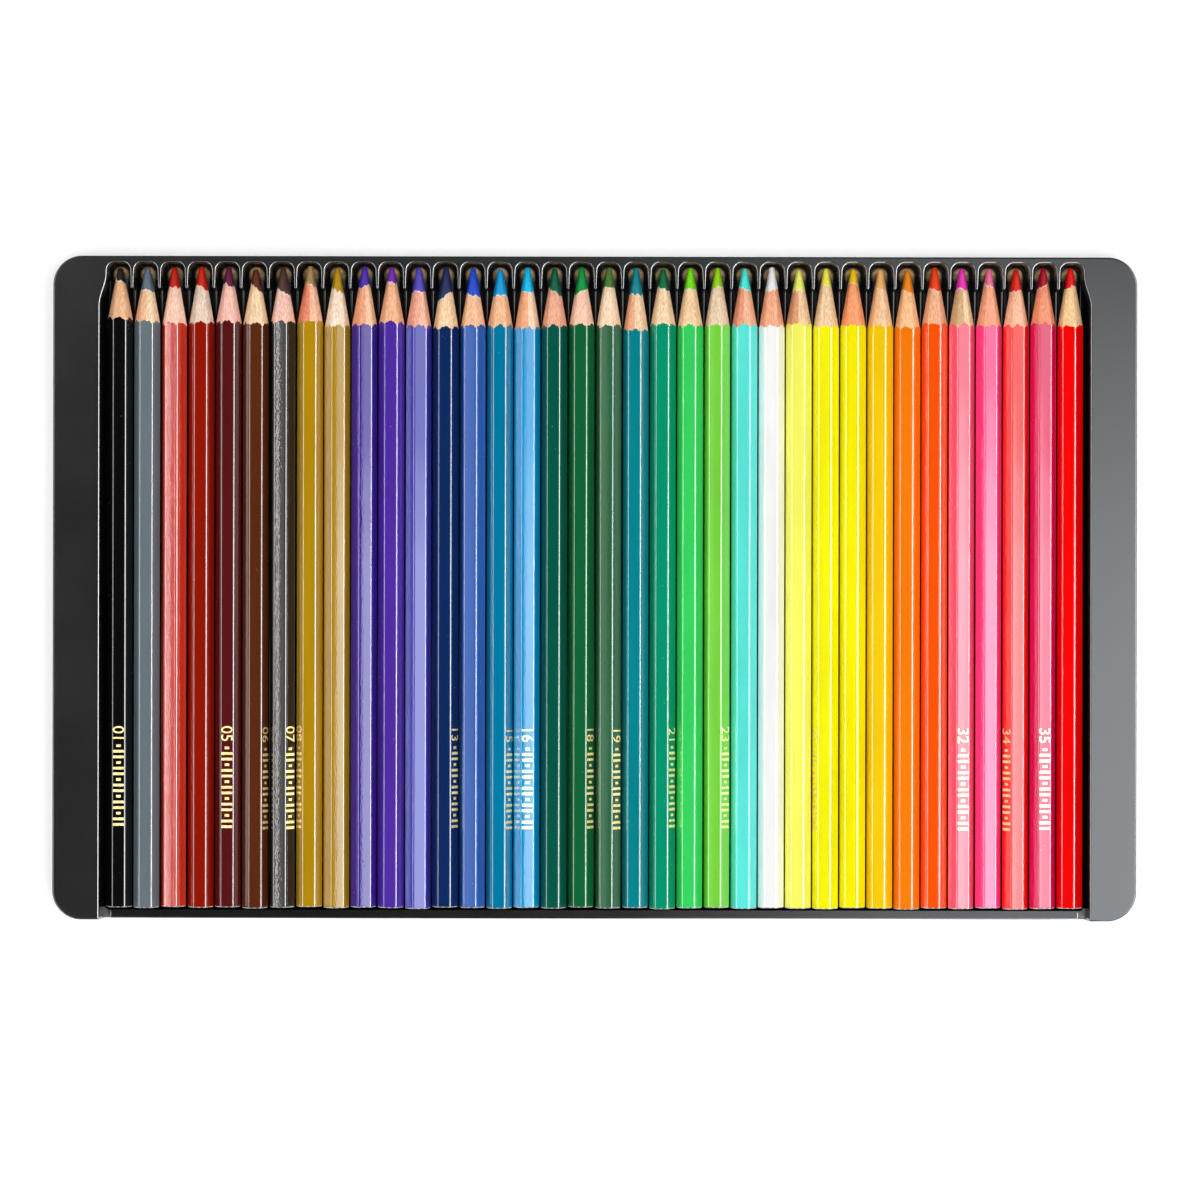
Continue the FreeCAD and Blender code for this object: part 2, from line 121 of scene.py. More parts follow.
# Each pencil from left to right: name, roll in degrees, the colours of its lacquer, lead, left slat
# and right slat, the slant of its lead's edge as a share of LEAD_SLANT, above 0 where the edge is
# lower on the right, the face that bears the gold mark, and by how many mm the sharpened point and
# the bare lead are longer than usual
PENCILS = (
    ("black", 2, (12, 12, 13), (34, 30, 31), (236, 184, 142), (236, 184, 142), 0.8, 0, -1.4, -1.5),
    ("slate_blue", -1, (106, 119, 125), (98, 114, 128), (236, 184, 142), (240, 214, 176), 0.2, None, -0.8, 1),
    ("brick_red", -14, (196, 42, 12), (196, 26, 16), (245, 200, 178), (245, 204, 184), 0.3, None, 0, 0.2),
    ("dark_red", -1, (148, 22, 4), (205, 30, 14), (228, 206, 190), (228, 206, 190), 0.8, None, -0.3, 0.3),
    ("maroon", 0, (88, 22, 24), (102, 26, 62), (244, 190, 178), (244, 190, 178), 0.7, 0, -0.5, -0.4),
    ("dark_brown", 5, (92, 42, 18), (102, 44, 24), (240, 208, 170), (244, 214, 178), 1.5, 1, -0.3, -0.2),
    ("umber", -13, (34, 28, 22), (78, 52, 46), (240, 194, 178), (240, 194, 178), 1.3, 1, -0.5, 1.5),
    ("ochre_gold", 1, (182, 140, 12), (170, 136, 82), (232, 136, 100), (244, 190, 158), 0.7, -1, -0.5, -0.2),
    ("ochre", 8.8, (176, 136, 18), (184, 140, 8), (244, 222, 202), (244, 222, 202), 0.8, None, 0.5, 0.6),
    ("violet_blue", 9, (62, 34, 148), (80, 48, 174), (236, 160, 120), (246, 196, 160), -0.6, None, 0.3, -0.2),
    ("purple", -1, (80, 46, 162), (124, 42, 180), (240, 180, 138), (240, 180, 138), 0.4, None, -0.5, -1.3),
    ("blue_violet", 10, (60, 58, 172), (88, 74, 190), (236, 166, 142), (242, 180, 152), -0.2, None, 0.3, 0.9),
    ("navy", -3, (14, 42, 95), (36, 46, 94), (240, 206, 166), (240, 206, 166), -1.2, 1, 1.1, 2.2),
    ("cobalt", -13, (28, 88, 176), (36, 76, 206), (242, 188, 148), (242, 188, 148), 0.6, None, 0.5, 1.7),
    ("cerulean", -2, (0, 122, 162), (2, 156, 218), (240, 184, 142), (240, 184, 142), 0, 1, 0.3, 1.7),
    ("azure", 5.9, (0, 150, 212), (10, 186, 240), (236, 168, 124), (242, 208, 176), 0.3, 0, 1.1, 0.9),
    ("pine_green", -5, (4, 88, 70), (10, 94, 66), (234, 168, 140), (234, 168, 140), 1.5, None, 0.3, 0.9),
    ("green", -6, (16, 101, 54), (10, 148, 66), (246, 200, 176), (246, 200, 176), -0.9, 1, 0.3, 1.2),
    ("olive_green", -12, (46, 104, 68), (74, 122, 50), (240, 212, 182), (240, 212, 182), 0.2, 1, 0.3, 0),
    ("teal", -8, (4, 133, 144), (4, 132, 144), (232, 170, 130), (238, 206, 170), 0.2, None, 1.7, 1.2),
    ("emerald", -5, (2, 148, 110), (8, 108, 60), (238, 208, 170), (238, 208, 170), 0.6, 1, -0.3, 0),
    ("bright_green", -6, (56, 211, 97), (118, 224, 14), (238, 202, 158), (238, 202, 158), 0, None, 0.3, 0),
    ("yellow_green", -13, (120, 212, 62), (146, 212, 6), (226, 204, 172), (226, 204, 172), -0.6, 1, 0.5, 0),
    ("turquoise", -6, (92, 231, 218), (72, 240, 220), (226, 146, 112), (240, 180, 146), 0.4, None, 0, 0),
    ("white", -3, (246, 246, 244), (244, 244, 242), (240, 168, 128), (240, 168, 128), -0.2, None, 0.5, 0.5),
    ("lemon", -4, (250, 248, 100), (238, 246, 104), (214, 150, 108), (240, 200, 156), -0.4, None, -0.3, 0.3),
    ("yellow", -8, (252, 244, 10), (246, 230, 70), (238, 204, 160), (238, 204, 160), 0.5, -1, 0.3, -1.0),
    ("golden_yellow", -9, (253, 238, 3), (252, 192, 8), (244, 154, 98), (244, 154, 98), 0.5, None, 0.3, -1.5),
    ("amber", -9, (252, 204, 8), (248, 172, 100), (240, 186, 138), (240, 196, 152), 0.6, None, 0.3, 0),
    ("orange", -7, (254, 126, 6), (248, 130, 6), (246, 188, 134), (246, 188, 134), 0.4, None, 0.5, 0.2),
    ("red_orange", -4, (252, 84, 5), (246, 62, 6), (236, 172, 130), (236, 172, 130), 0.6, None, -0.3, 0.9),
    ("pink", 7, (250, 86, 114), (242, 50, 178), (206, 166, 118), (236, 204, 158), 0.2, 0, 0, 0.2),
    ("hot_pink", 6, (252, 62, 134), (248, 108, 154), (240, 160, 124), (240, 160, 124), 0.8, None, 0.5, -1.1),
    ("scarlet", 7.2, (246, 22, 8), (222, 34, 12), (244, 180, 148), (244, 180, 148), 0.1, -1, 0, 0.4),
    ("crimson", 7.1, (216, 8, 88), (172, 6, 38), (234, 142, 102), (234, 142, 102), -1.0, 0, -0.3, -0.8),
    ("red", -13, (246, 4, 4), (232, 8, 14), (238, 200, 146), (238, 200, 146), -0.3, None, 0.3, -0.5),
)
# The pale wood that the sharpener leaves along the lead's edge
RIM_COLOUR = (238, 222, 204)
PENCIL_NODES = [f"pencil_{number:02d}_{pencil[0]}" for number, pencil in enumerate(PENCILS, start=1)]

# The places of the materials on a pencil and on the tray
LACQUER, WOOD, LEAD, FOIL, RIM, BUTT = range(6)
SATIN, GLOSS, EDGE, BOWL, LEDGE, NOTCH = range(6)

# Steps of the meshes
FLAT_STEPS = 12
EDGE_STEPS = 8
CONE_STEPS = 6
LEAD_RING_SHARES = (0, 0.3, 0.65, 1)
LEAD_TEETH = 22
PAINT_TEETH = 54
CORNER_STEPS = 24
ARCH_STEPS = 9
FILLET_STEPS = 6
CHANNEL_STEPS = 14
BOWL_STEPS = 10
SHOULDER_STEPS = 12
SCALLOP_STEPS = 4
RIDGE_SHARES = (0.25, 0.5, 0.75)


def linear(colour):
    """A colour written as sRGB from 0 to 255, as linear values with alpha."""
    shares = [value / 255 for value in colour]
    return (*(c / 12.92 if c <= 0.04045 else ((c + 0.055) / 1.055) ** 2.4 for c in shares), 1)


def shaded(colour, factor):
    return tuple(min(value * factor, 1.0) for value in colour[:3]) + (1,)


class Nodes:
    """A new material's node tree, with short calls for adding nodes and links."""

    def __init__(self, name):
        self.material = bpy.data.materials.new(name)
        self.material.use_nodes = True
        self.tree = self.material.node_tree
        self.shader = self.tree.nodes["Principled BSDF"]

    def add(self, kind, settings=None, **inputs):
        node = self.tree.nodes.new(kind)
        for key, value in (settings or {}).items():
            setattr(node, key, value)
        for key, value in inputs.items():
            self.put(node.inputs[key.replace("_", " ")], value)
        return node

    def put(self, socket, value):
        if isinstance(value, bpy.types.NodeSocket):
            self.tree.links.new(value, socket)
        else:
            socket.default_value = value

    def set(self, **inputs):
        for key, value in inputs.items():
            self.put(self.shader.inputs[key.replace("_", " ")], value)

    def place(self, scale, offset=(0, 0, 0)):
        """The object's own coordinates, scaled."""
        where = self.add("ShaderNodeTexCoord").outputs["Object"]
        mapping = self.add("ShaderNodeMapping", Vector=where, Scale=scale, Location=offset)
        return mapping.outputs["Vector"]

    def noise(self, vector, detail=2.0, roughness=0.5):
        node = self.add("ShaderNodeTexNoise", Vector=vector, Scale=1.0, Detail=detail, Roughness=roughness)
        return node.outputs["Fac"]

    def spread(self, value, low, high, to_low=0.0, to_high=1.0):
        node = self.add("ShaderNodeMapRange", Value=value)
        for key, number in (("From Min", low), ("From Max", high), ("To Min", to_low), ("To Max", to_high)):
            node.inputs[key].default_value = number
        return node.outputs["Result"]

    def mix(self, factor, first, second, blend="MIX"):
        """Two colours mixed; a colour mix node's sockets are 0, 6 and 7."""
        node = self.add("ShaderNodeMix", {"data_type": "RGBA", "blend_type": blend})
        for socket, value in ((0, factor), (6, first), (7, second)):
            self.put(node.inputs[socket], value)
        return node.outputs[2]

    def math(self, operation, first, second):
        node = self.add("ShaderNodeMath", {"operation": operation})
        self.put(node.inputs[0], first)
        self.put(node.inputs[1], second)
        return node.outputs[0]

    def times(self, first, second):
        return self.math("MULTIPLY", first, second)

    def larger(self, first, second):
        return self.math("MAXIMUM", first, second)

    def bump(self, height, distance, normal=None):
        node = self.add("ShaderNodeBump", Height=height, Distance=distance, Strength=1.0)
        if normal is not None:
            self.put(node.inputs["Normal"], normal)
        return node.outputs["Normal"]


def lacquer_material(name, colour, seed):
    """Thick glossy lacquer with faint drawn streaks, orange peel and a few specks of dust."""
    nodes = Nodes(name)
    patches = nodes.noise(nodes.place((140, 30, 140), (seed, 0, 0)))
    base = nodes.mix(nodes.spread(patches, 0.3, 0.7), shaded(colour, 0.93), shaded(colour, 1.05))
    cells = nodes.place((620, 620, 620), (seed, 2, 0))
    specks = nodes.add("ShaderNodeTexVoronoi", Vector=cells, Scale=1.0).outputs["Distance"]
    sparse = nodes.noise(nodes.place((330, 330, 330), (seed, 4, 0)), 1.0)
    dust_and_reflection = nodes.times(nodes.spread(specks, 0.10, 0.05), nodes.spread(sparse, 0.64, 0.66))
    dust_share = 0.45
    dust_colour = (0.62, 0.6, 0.56, 1)
    base = nodes.mix(nodes.times(dust_and_reflection, dust_share), base, dust_colour)
    streaks = nodes.noise(nodes.place((1300, 11, 1300), (seed, 7, 0)), 2.0)
    peel = nodes.noise(nodes.place((900, 260, 900), (seed, 5, 0)), 2.0)
    grit = nodes.noise(nodes.place((2400, 1300, 2400), (seed, 9, 0)), 1.5)
    normal = nodes.bump(streaks, 0.004 * MM)
    normal = nodes.bump(peel, 0.004 * MM, normal)
    normal = nodes.bump(grit, 0.01 * MM, normal)
    nodes.set(Base_Color=base, Roughness=0.5, Specular_IOR_Level=0.0)
    nodes.set(Coat_Weight=1.0, Coat_Roughness=0.03, Coat_IOR=1.58)
    nodes.set(Normal=normal, Coat_Normal=normal)
    return nodes.material


def wood_material(name, left, right, seed):
    """Sharpened cedar-like wood of two glued slats, with fine fibres along the pencil."""
    nodes = Nodes(name)
    where = nodes.add("ShaderNodeTexCoord").outputs["Object"]
    side = nodes.add("ShaderNodeSeparateXYZ", Vector=where).outputs["X"]
    half_glue_line = 0.05 * MM
    slats = nodes.mix(nodes.spread(side, -half_glue_line, half_glue_line), left, right)
    fibres = nodes.noise(nodes.place((4200, 420, 4200), (seed, 0, 0)), 3.0, 0.65)
    grain = nodes.noise(nodes.place((900, 60, 900), (seed, 3, 0)), 2.0)
    dark_fibre, pale_fibre = (0.88, 0.8, 0.72, 1), (1.24, 1.24, 1.22, 1)
    dark_band, pale_band = (0.95, 0.93, 0.9, 1), (1.04, 1.04, 1.04, 1)
    tones = nodes.mix(nodes.spread(fibres, 0.38, 0.62), dark_fibre, pale_fibre)
    bands = nodes.mix(nodes.spread(grain, 0.35, 0.65), dark_band, pale_band)
    toned = nodes.mix(1.0, slats, tones, "MULTIPLY")
    banded = nodes.mix(1.0, toned, bands, "MULTIPLY")
    nodes.set(Base_Color=banded, Roughness=0.62, Specular_IOR_Level=0.3)
    nodes.set(Normal=nodes.bump(fibres, 0.03 * MM))
    return nodes.material


def lead_material(name, colour, seed):
    """Waxy pigment, scraped by the sharpener."""
    nodes = Nodes(name)
    scrape = nodes.noise(nodes.place((2400, 1500, 2400), (seed, 0, 0)), 3.0, 0.6)
    base = nodes.mix(nodes.spread(scrape, 0.35, 0.65), shaded(colour, 0.94), shaded(colour, 1.25))
    nodes.set(Base_Color=base, Roughness=0.5, Specular_IOR_Level=0.15)
    nodes.set(Normal=nodes.bump(scrape, 0.03 * MM))
    return nodes.material


def cut_edge_material():
    """The lacquer's sawn edge at the butts, dark with pale patches here and there that are a painted
    highlight.
    """
    nodes = Nodes("cut_edge")
    highlight_patches = nodes.noise(nodes.place((1800, 1800, 1800)), 2.0)
    dark, pale_highlight = (0.1, 0.09, 0.085, 1), (0.92, 0.88, 0.84, 1)
    # The pale patches are a painted highlight along the butt's bevel
    base = nodes.mix(nodes.spread(highlight_patches, 0.42, 0.6), dark, pale_highlight)
    nodes.set(Base_Color=base, Roughness=0.5)
    return nodes.material


def foil_material():
    """Hot-stamped gold foil, slightly worn."""
    nodes = Nodes("gold_foil")
    wear = nodes.noise(nodes.place((1500, 1500, 1500)), 2.0)
    worn, bright = (0.72, 0.5, 0.12, 1), (1.0, 0.86, 0.42, 1)
    base = nodes.mix(nodes.spread(wear, 0.35, 0.6), worn, bright)
    nodes.set(Base_Color=base, Metallic=0.55, Roughness=0.45)
    nodes.set(Normal=nodes.bump(wear, 0.012 * MM))
    return nodes.material


def plastic_material(name, roughness, grain_height, specular, coat):
    """Black thermoformed sheet, with a fine moulded grain."""
    nodes = Nodes(name)
    clouds = nodes.noise(nodes.place((60, 60, 60)), 2.0)
    darkest, palest = (0.0034, 0.0036, 0.004, 1), (0.0052, 0.0054, 0.006, 1)
    base = nodes.mix(nodes.spread(clouds, 0.3, 0.7), darkest, palest)
    grain = nodes.noise(nodes.place((2600, 2600, 2600)), 2.0)
    rough = nodes.spread(clouds, 0.3, 0.7, roughness * 0.95, roughness * 1.05)
    nodes.set(Base_Color=base, Roughness=rough, Specular_IOR_Level=specular, Coat_Weight=coat)
    nodes.set(Coat_Roughness=0.08, Normal=nodes.bump(grain, grain_height))
    return nodes.material


def bowl_material(pencil_x, pitch, start, end):
    """The same sheet round the points, with a brown ring in each bowl that is a painted reflection of the
    sharpened wood.
    """
    ring_middle_y = end - 3.0 * MM
    inner_edge = (0.5 * MM, 1.2 * MM)
    outer_edge = (2.3 * MM, 1.7 * MM)
    front_edge = (start + 0.4 * MM, start + 2.8 * MM)
    # brown is the colour of the painted reflection of the sharpened wood in each glossy bowl
    black, brown = (0.0042, 0.0044, 0.005, 1), (1.0, 0.66, 0.28, 1)
    nodes = Nodes("tray_bowl")
    where = nodes.add("ShaderNodeTexCoord").outputs["Object"]
    split = nodes.add("ShaderNodeSeparateXYZ", Vector=where).outputs
    across = nodes.math("PINGPONG", nodes.math("SUBTRACT", split["X"], pencil_x), pitch / 2)
    above = nodes.larger(nodes.math("SUBTRACT", split["Y"], ring_middle_y), 0)
    around = nodes.add("ShaderNodeCombineXYZ", X=across, Y=above).outputs[0]
    reach = nodes.add("ShaderNodeVectorMath", {"operation": "LENGTH"})
    nodes.put(reach.inputs[0], around)
    away = reach.outputs["Value"]
    ring = nodes.times(nodes.spread(away, *inner_edge), nodes.spread(away, *outer_edge))
    uneven = nodes.spread(nodes.noise(nodes.place((700, 700, 700)), 3.0), 0.1, 0.55)
    # The mask of the painted brown reflection round each point
    dust_and_reflection = nodes.times(nodes.times(ring, nodes.spread(split["Y"], *front_edge)), uneven)
    nodes.set(Base_Color=nodes.mix(dust_and_reflection, black, brown), Roughness=0.2, Specular_IOR_Level=0.7)
    return nodes.material


def new_piece(name, vertices, faces, materials, face_materials, smooth):
    """A mesh object whose faces each have their own material and are smooth or flat."""
    mesh = bpy.data.meshes.new(name)
    mesh.from_pydata(vertices, [], faces)
    for material in materials:
        mesh.materials.append(material)
    mesh.polygons.foreach_set("material_index", face_materials)
    mesh.polygons.foreach_set("use_smooth", smooth)
    mesh.validate()
    piece = bpy.data.objects.new(name, mesh)
    bpy.context.scene.collection.objects.link(piece)
    return piece


class Surface:
    """Vertices and faces collected ring by ring."""

    def __init__(self):
        self.vertices = []
        self.faces = []
        self.materials = []
        self.smooth = []
        self.sharp = []

    def ring(self, points):
        start = len(self.vertices)
        self.vertices.extend(points)
        return range(start, len(self.vertices))

    def face(self, corners, material, smooth=True):
        self.faces.append(tuple(corners))
        self.materials.append(material)
        self.smooth.append(smooth)

    def band(self, first, second, material_of, closed=True):
        """Quads between two rings of as many points, in one material or one for each point."""
        count = len(first)
        for index in range(count if closed else count - 1):
            after = (index + 1) % count
            material = material_of(index) if callable(material_of) else material_of
            self.face((first[index], second[index], second[after], first[after]), material)

    def crease(self, ring):
        for index, corner in enumerate(ring):
            self.sharp.append((corner, ring[(index + 1) % len(ring)]))

    def make(self, name, materials):
        piece = new_piece(name, self.vertices, self.faces, materials, self.materials, self.smooth)
        sharp = {tuple(sorted(pair)) for pair in self.sharp}
        for edge in piece.data.edges:
            if tuple(sorted(edge.vertices)) in sharp:
                edge.use_edge_sharp = True
        return piece


def hexagon_section():
    """Points round the lacquered hexagon as (across, up), with its long edges rounded."""
    points = []
    for side in range(HEX_SIDES):
        turn = side * FACE_TURN
        out = Vector((sin(radians(turn)), cos(radians(turn))))
        along = Vector((cos(radians(turn)), -sin(radians(turn))))
        for step in range(FLAT_STEPS):
            aside_share = 2 * step / FLAT_STEPS - 1
            crown = FACE_CROWN * (1 - aside_share ** 2)
            points.append(out * (ACROSS_FLATS / 2 + crown) + along * HALF_FLAT * aside_share)
        corner = turn + FACE_TURN / 2
        centre = Vector((sin(radians(corner)), cos(radians(corner)))) * EDGE_CENTRE
        for step in range(EDGE_STEPS):
            angle = radians(turn + FACE_TURN * step / EDGE_STEPS)
            points.append(centre + Vector((sin(angle), cos(angle))) * EDGE_RADIUS)
    return points


def teeth(random, count, depth, turn):
    """A function of the angle round the pencil that zigzags between random depths."""
    depths = [random.uniform(-depth, depth) for _ in range(count)]

    def depth_at(angle):
        place = ((angle + turn) / (2 * pi) % 1) * count
        before = int(place) % count
        share = place - int(place)
        return depths[before] * (1 - share) + depths[(before + 1) % count] * share

    return depth_at


def face_height(aside):
    """How far a face's surface lies from the pencil's axis, at a distance from its middle line."""
    over = abs(aside) - HALF_FLAT
    if over <= 0:
        return ACROSS_FLATS / 2 + FACE_CROWN * (1 - (aside / HALF_FLAT) ** 2)
    return ACROSS_FLATS / 2 - EDGE_RADIUS + sqrt(EDGE_RADIUS ** 2 - over ** 2)


def foil_mark(number, face):
    """A plain colour number and a row of bars, as thin shapes on one face of the pencil."""
    curve = bpy.data.curves.new("mark", "FONT")
    curve.body = f"{number:02d}"
    curve.size = MARK_SIZE
    curve.resolution_u = 3
    text = bpy.data.objects.new("mark", curve)
    digits = bpy.data.meshes.new_from_object(text)
    digit_top = max(vertex.co.y for vertex in digits.vertices)
    digit_end = max(vertex.co.x for vertex in digits.vertices)
    digit_points = [vertex.co.copy() for vertex in digits.vertices]
    shapes = [(digit_points, [tuple(polygon.vertices) for polygon in digits.polygons])]
    bpy.data.objects.remove(text)
    bpy.data.curves.remove(curve)
    bpy.data.meshes.remove(digits)
    for bar in range(MARK_BARS):
        left = digit_end + MARK_BAR_PITCH * (bar + 1)
        right = left + MARK_BAR_WIDTH
        low, high = (digit_top * share for share in (LONG_BAR_SHARES if bar % 3 else SHORT_BAR_SHARES))
        corners = [(left, low), (right, low), (right, high), (left, high)]
        shapes.append(([Vector((x, y, 0)) for x, y in corners], [(0, 1, 2, 3)]))
    turn = Matrix.Rotation(radians(face * FACE_TURN), 3, "Y")
    placed = []
    for points, faces in shapes:
        flat = []
        for point in points:
            aside = point.y - digit_top / 2
            flat.append(turn @ Vector((aside, MARK_START - point.x, face_height(aside) + FOIL_FILM)))
        placed.append((flat, faces))
    return placed


def pencil_piece(number, pencil, foil, cut_edge):
    """One sharpened pencil, made about its own axis and laid where its node lies."""
    name, roll, lacquer, lead, left, right, slant_share, mark, longer, barer = pencil
    node = PENCIL_NODES[number - 1]
    low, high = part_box(node)
    half_length = (high.y - low.y) / 2
    random = Random(number)
    section = hexagon_section()
    count = len(section)
    angles = [Vector((0, 1)).angle_signed(point) for point in section]
    lead_teeth = teeth(random, LEAD_TEETH, LEAD_TOOTH, random.uniform(0, pi))
    paint_teeth = teeth(random, PAINT_TEETH, PAINT_TOOTH, random.uniform(0, pi))
    rim_teeth = teeth(random, LEAD_TEETH, RIM_TOOTH, random.uniform(0, pi))
    worn = random.uniform(*TIP_WEAR_RANGE_MM) * MM
    point_length = FLAT_POINT_LENGTH + longer * MM
    flat_slope = (ACROSS_FLATS / 2 - PAINT_FILM - TIP_RADIUS) / (point_length - worn)
    lead_end = worn + (LEAD_RADIUS - TIP_RADIUS) / flat_slope + barer * MM
    shoulders = []
    paint_ends = []
    lead_ends = []
    rim_ends = []
    for point, angle in zip(section, angles):
        past_flat = (point.length - ACROSS_FLATS / 2) / (EDGE_REACH - ACROSS_FLATS / 2)
        shoulders.append(point_length + past_flat * SCALLOP_DEPTH)
        paint_ends.append(shoulders[-1] + paint_teeth(angle))
        lead_ends.append(lead_end + lead_teeth(angle) + slant_share * LEAD_SLANT * sin(angle))
        rim_ends.append(lead_ends[-1] + RIM_WIDTH + rim_teeth(angle))

    def on_cone(index, distance):
        reach = section[index].length - PAINT_FILM - TIP_RADIUS
        share = (distance - worn) / (shoulders[index] - worn)
        radius = min(TIP_RADIUS + reach * share, section[index].length - PAINT_FILM / 2)
        outward = section[index].normalized() * radius
        return Vector((outward.x, half_length - distance, outward.y))

    surface = Surface()
    top = surface.ring([Vector((0, half_length - worn, 0))])
    tip_ring_y = half_length - worn - TIP_ROUND * TIP_RING_DROP_SHARE
    tip_ring = (point.normalized() * TIP_RADIUS * TIP_RING_WIDTH_SHARE for point in section)
    ring = surface.ring([Vector((point.x, tip_ring_y, point.y)) for point in tip_ring])
    for index in range(count):
        surface.face((top[0], ring[index], ring[(index + 1) % count]), LEAD)
    for share in LEAD_RING_SHARES:
        after = surface.ring([
            on_cone(index, (worn + TIP_ROUND) * (1 - share) + end * share)
            for index, end in enumerate(lead_ends)
        ])
        surface.band(ring, after, LEAD)
        ring = after
    after = surface.ring([on_cone(index, end) for index, end in enumerate(rim_ends)])
    surface.band(ring, after, RIM)
    ring = after
    for step in range(1, CONE_STEPS + 1):
        share = step / CONE_STEPS
        after = surface.ring([
            on_cone(index, rim_ends[index] * (1 - share) + paint_ends[index] * share)
            for index in range(count)
        ])
        surface.band(ring, after, WOOD)
        ring = after
    surface.crease(ring)
    paint_edge = surface.ring([
        Vector((point.x, half_length - paint_ends[index], point.y)) for index, point in enumerate(section)
    ])
    surface.band(ring, paint_edge, LACQUER)
    surface.crease(paint_edge)
    butt_side = surface.ring([Vector((p.x, -half_length + BUTT_BEVEL, p.y)) for p in section])
    surface.band(paint_edge, butt_side, LACQUER)
    surface.crease(butt_side)
    shrink = 1 - BUTT_BEVEL / (ACROSS_FLATS / 2)
    butt_edge = surface.ring([Vector((p.x * shrink, -half_length, p.y * shrink)) for p in section])
    surface.band(butt_side, butt_edge, BUTT)
    surface.crease(butt_edge)
    core = (point.normalized() * LEAD_RADIUS for point in section)
    core_edge = surface.ring([Vector((p.x, -half_length, p.y)) for p in core])
    surface.band(butt_edge, core_edge, WOOD)
    middle = surface.ring([Vector((0, -half_length, 0))])
    for index in range(count):
        surface.face((core_edge[(index + 1) % count], core_edge[index], middle[0]), LEAD)

    if mark is not None:
        for points, faces in foil_mark(number, mark):
            shape = surface.ring(points)
            for corners in faces:
                surface.face([shape[corner] for corner in corners], FOIL)

    lacquer_seed, wood_seed, lead_seed = number * 7.3, number * 3.7, number * 5.1
    materials = [
        lacquer_material(f"{name}_lacquer", linear(lacquer), lacquer_seed),
        wood_material(f"{name}_wood", linear(left), linear(right), wood_seed),
        lead_material(f"{name}_lead", linear(lead), lead_seed),
        foil,
        wood_material(f"{name}_rim", linear(RIM_COLOUR), linear(RIM_COLOUR), wood_seed),
        cut_edge,
    ]
    piece = surface.make(f"{name}_pencil", materials)
    piece.matrix_world = Matrix.Translation((low + high) / 2) @ Matrix.Rotation(radians(roll), 4, "Y")
    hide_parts(node)
    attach(piece, node)


# The tray's places, in metres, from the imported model's boxes
tray_low, tray_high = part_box("tray")
PENCIL_X = [sum((box[0].x, box[1].x)) / 2 for box in map(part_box, PENCIL_NODES)]
PITCH = (PENCIL_X[-1] - PENCIL_X[0]) / (len(PENCIL_X) - 1)
RECESS_REACH = tray_high.x - PANEL_WIDTH
POCKET_BACK = tray_high.y - BACK_MARGIN
POCKET_FRONT = tray_low.y + FRONT_MARGIN
FINGER_END = POCKET_BACK - FINGER_LENGTH
BOWL_START = POCKET_BACK - BOWL_LENGTH
CHANNEL_REACH = sqrt(CHANNEL_RADIUS ** 2 - (CHANNEL_AXIS_HEIGHT - RIDGE_HEIGHT) ** 2)


def arc(centre, radius, start, end, steps):
    """Points on an arc, its angles in degrees, from +X towards +Y."""
    points = []
    for step in range(steps + 1):
        angle = radians(start + (end - start) * step / steps)
        points.append((centre[0] + radius * cos(angle), centre[1] + radius * sin(angle)))
    return points


def shoulder_curve():
    """The right-hand S from the recess's side in to the last arch, as an even curve."""
    inwards = RECESS_REACH - PENCIL_X[-1] - (PITCH - FINGER_WIDTH) / 2
    points = []
    for step in range(SHOULDER_STEPS + 1):
        share = step / SHOULDER_STEPS
        ease = share * share * (3 - 2 * share)
        y = FINGER_END - SHOULDER_DROP + SHOULDER_LENGTH * share
        points.append((RECESS_REACH - inwards * ease, y))
    return points


def arches():
    """The row of arches from right to left, with the round-ended fingers between them."""
    tip_radius = FINGER_TIP_WIDTH / 2
    bulge = (FINGER_WIDTH - FINGER_TIP_WIDTH) / 2 * FINGER_BULGE_SHARE
    arch_foot = POCKET_BACK - ARCH_RADIUS
    neck_y = FINGER_END + tip_radius
    half_way = (neck_y + arch_foot) / 2
    reach = (PITCH - FINGER_WIDTH) / 2
    points = []
    for position, x in enumerate(reversed(PENCIL_X)):
        points.extend(arc((x + reach - ARCH_RADIUS, arch_foot), ARCH_RADIUS, 0, 90, ARCH_STEPS))
        points.extend(arc((x - reach + ARCH_RADIUS, arch_foot), ARCH_RADIUS, 90, 180, ARCH_STEPS))
        if position < len(PENCIL_X) - 1:
            finger_x = x - PITCH / 2
            points.append((finger_x + tip_radius + bulge, half_way))
            points.extend(arc((finger_x, neck_y), tip_radius, 0, -180, ARCH_STEPS))
            points.append((finger_x - tip_radius - bulge, half_way))
    return points


def panel_outline():
    """The raised panel's outline, clockwise from above: outer sides, then the recess's edge.

    Returns the points and how many of them belong to the outer sides."""
    radius = TRAY_CORNER_RADIUS
    left, right = tray_low.x + radius, tray_high.x - radius
    front, back = tray_low.y + radius, tray_high.y - radius
    outer = [(-RECESS_REACH, tray_low.y)]
    outer += arc((left, front), radius, 270, 180, CORNER_STEPS)
    outer += arc((left, back), radius, 180, 90, CORNER_STEPS)
    outer += arc((right, back), radius, 90, 0, CORNER_STEPS)
    outer += arc((right, front), radius, 0, -90, CORNER_STEPS)
    outer += [(RECESS_REACH, tray_low.y)]
    right_side = [(RECESS_REACH, tray_low.y + FRONT_LIP)] + shoulder_curve()
    left_side = [(-x, y) for x, y in reversed(right_side)]
    return outer + right_side + arches() + left_side, len(outer)


def outward_normals(points):
    """Mitred outward directions at the corners of a closed clockwise outline."""
    count = len(points)
    sides = []
    for index in range(count):
        x0, y0 = points[index]
        x1, y1 = points[(index + 1) % count]
        length = hypot(x1 - x0, y1 - y0) or 1
        sides.append(Vector((-(y1 - y0) / length, (x1 - x0) / length)))
    normals = []
    for index in range(count):
        before, after = sides[index - 1], sides[index]
        normals.append((before + after) / max(1 + before.dot(after), MITRE_LIMIT))
    return normals


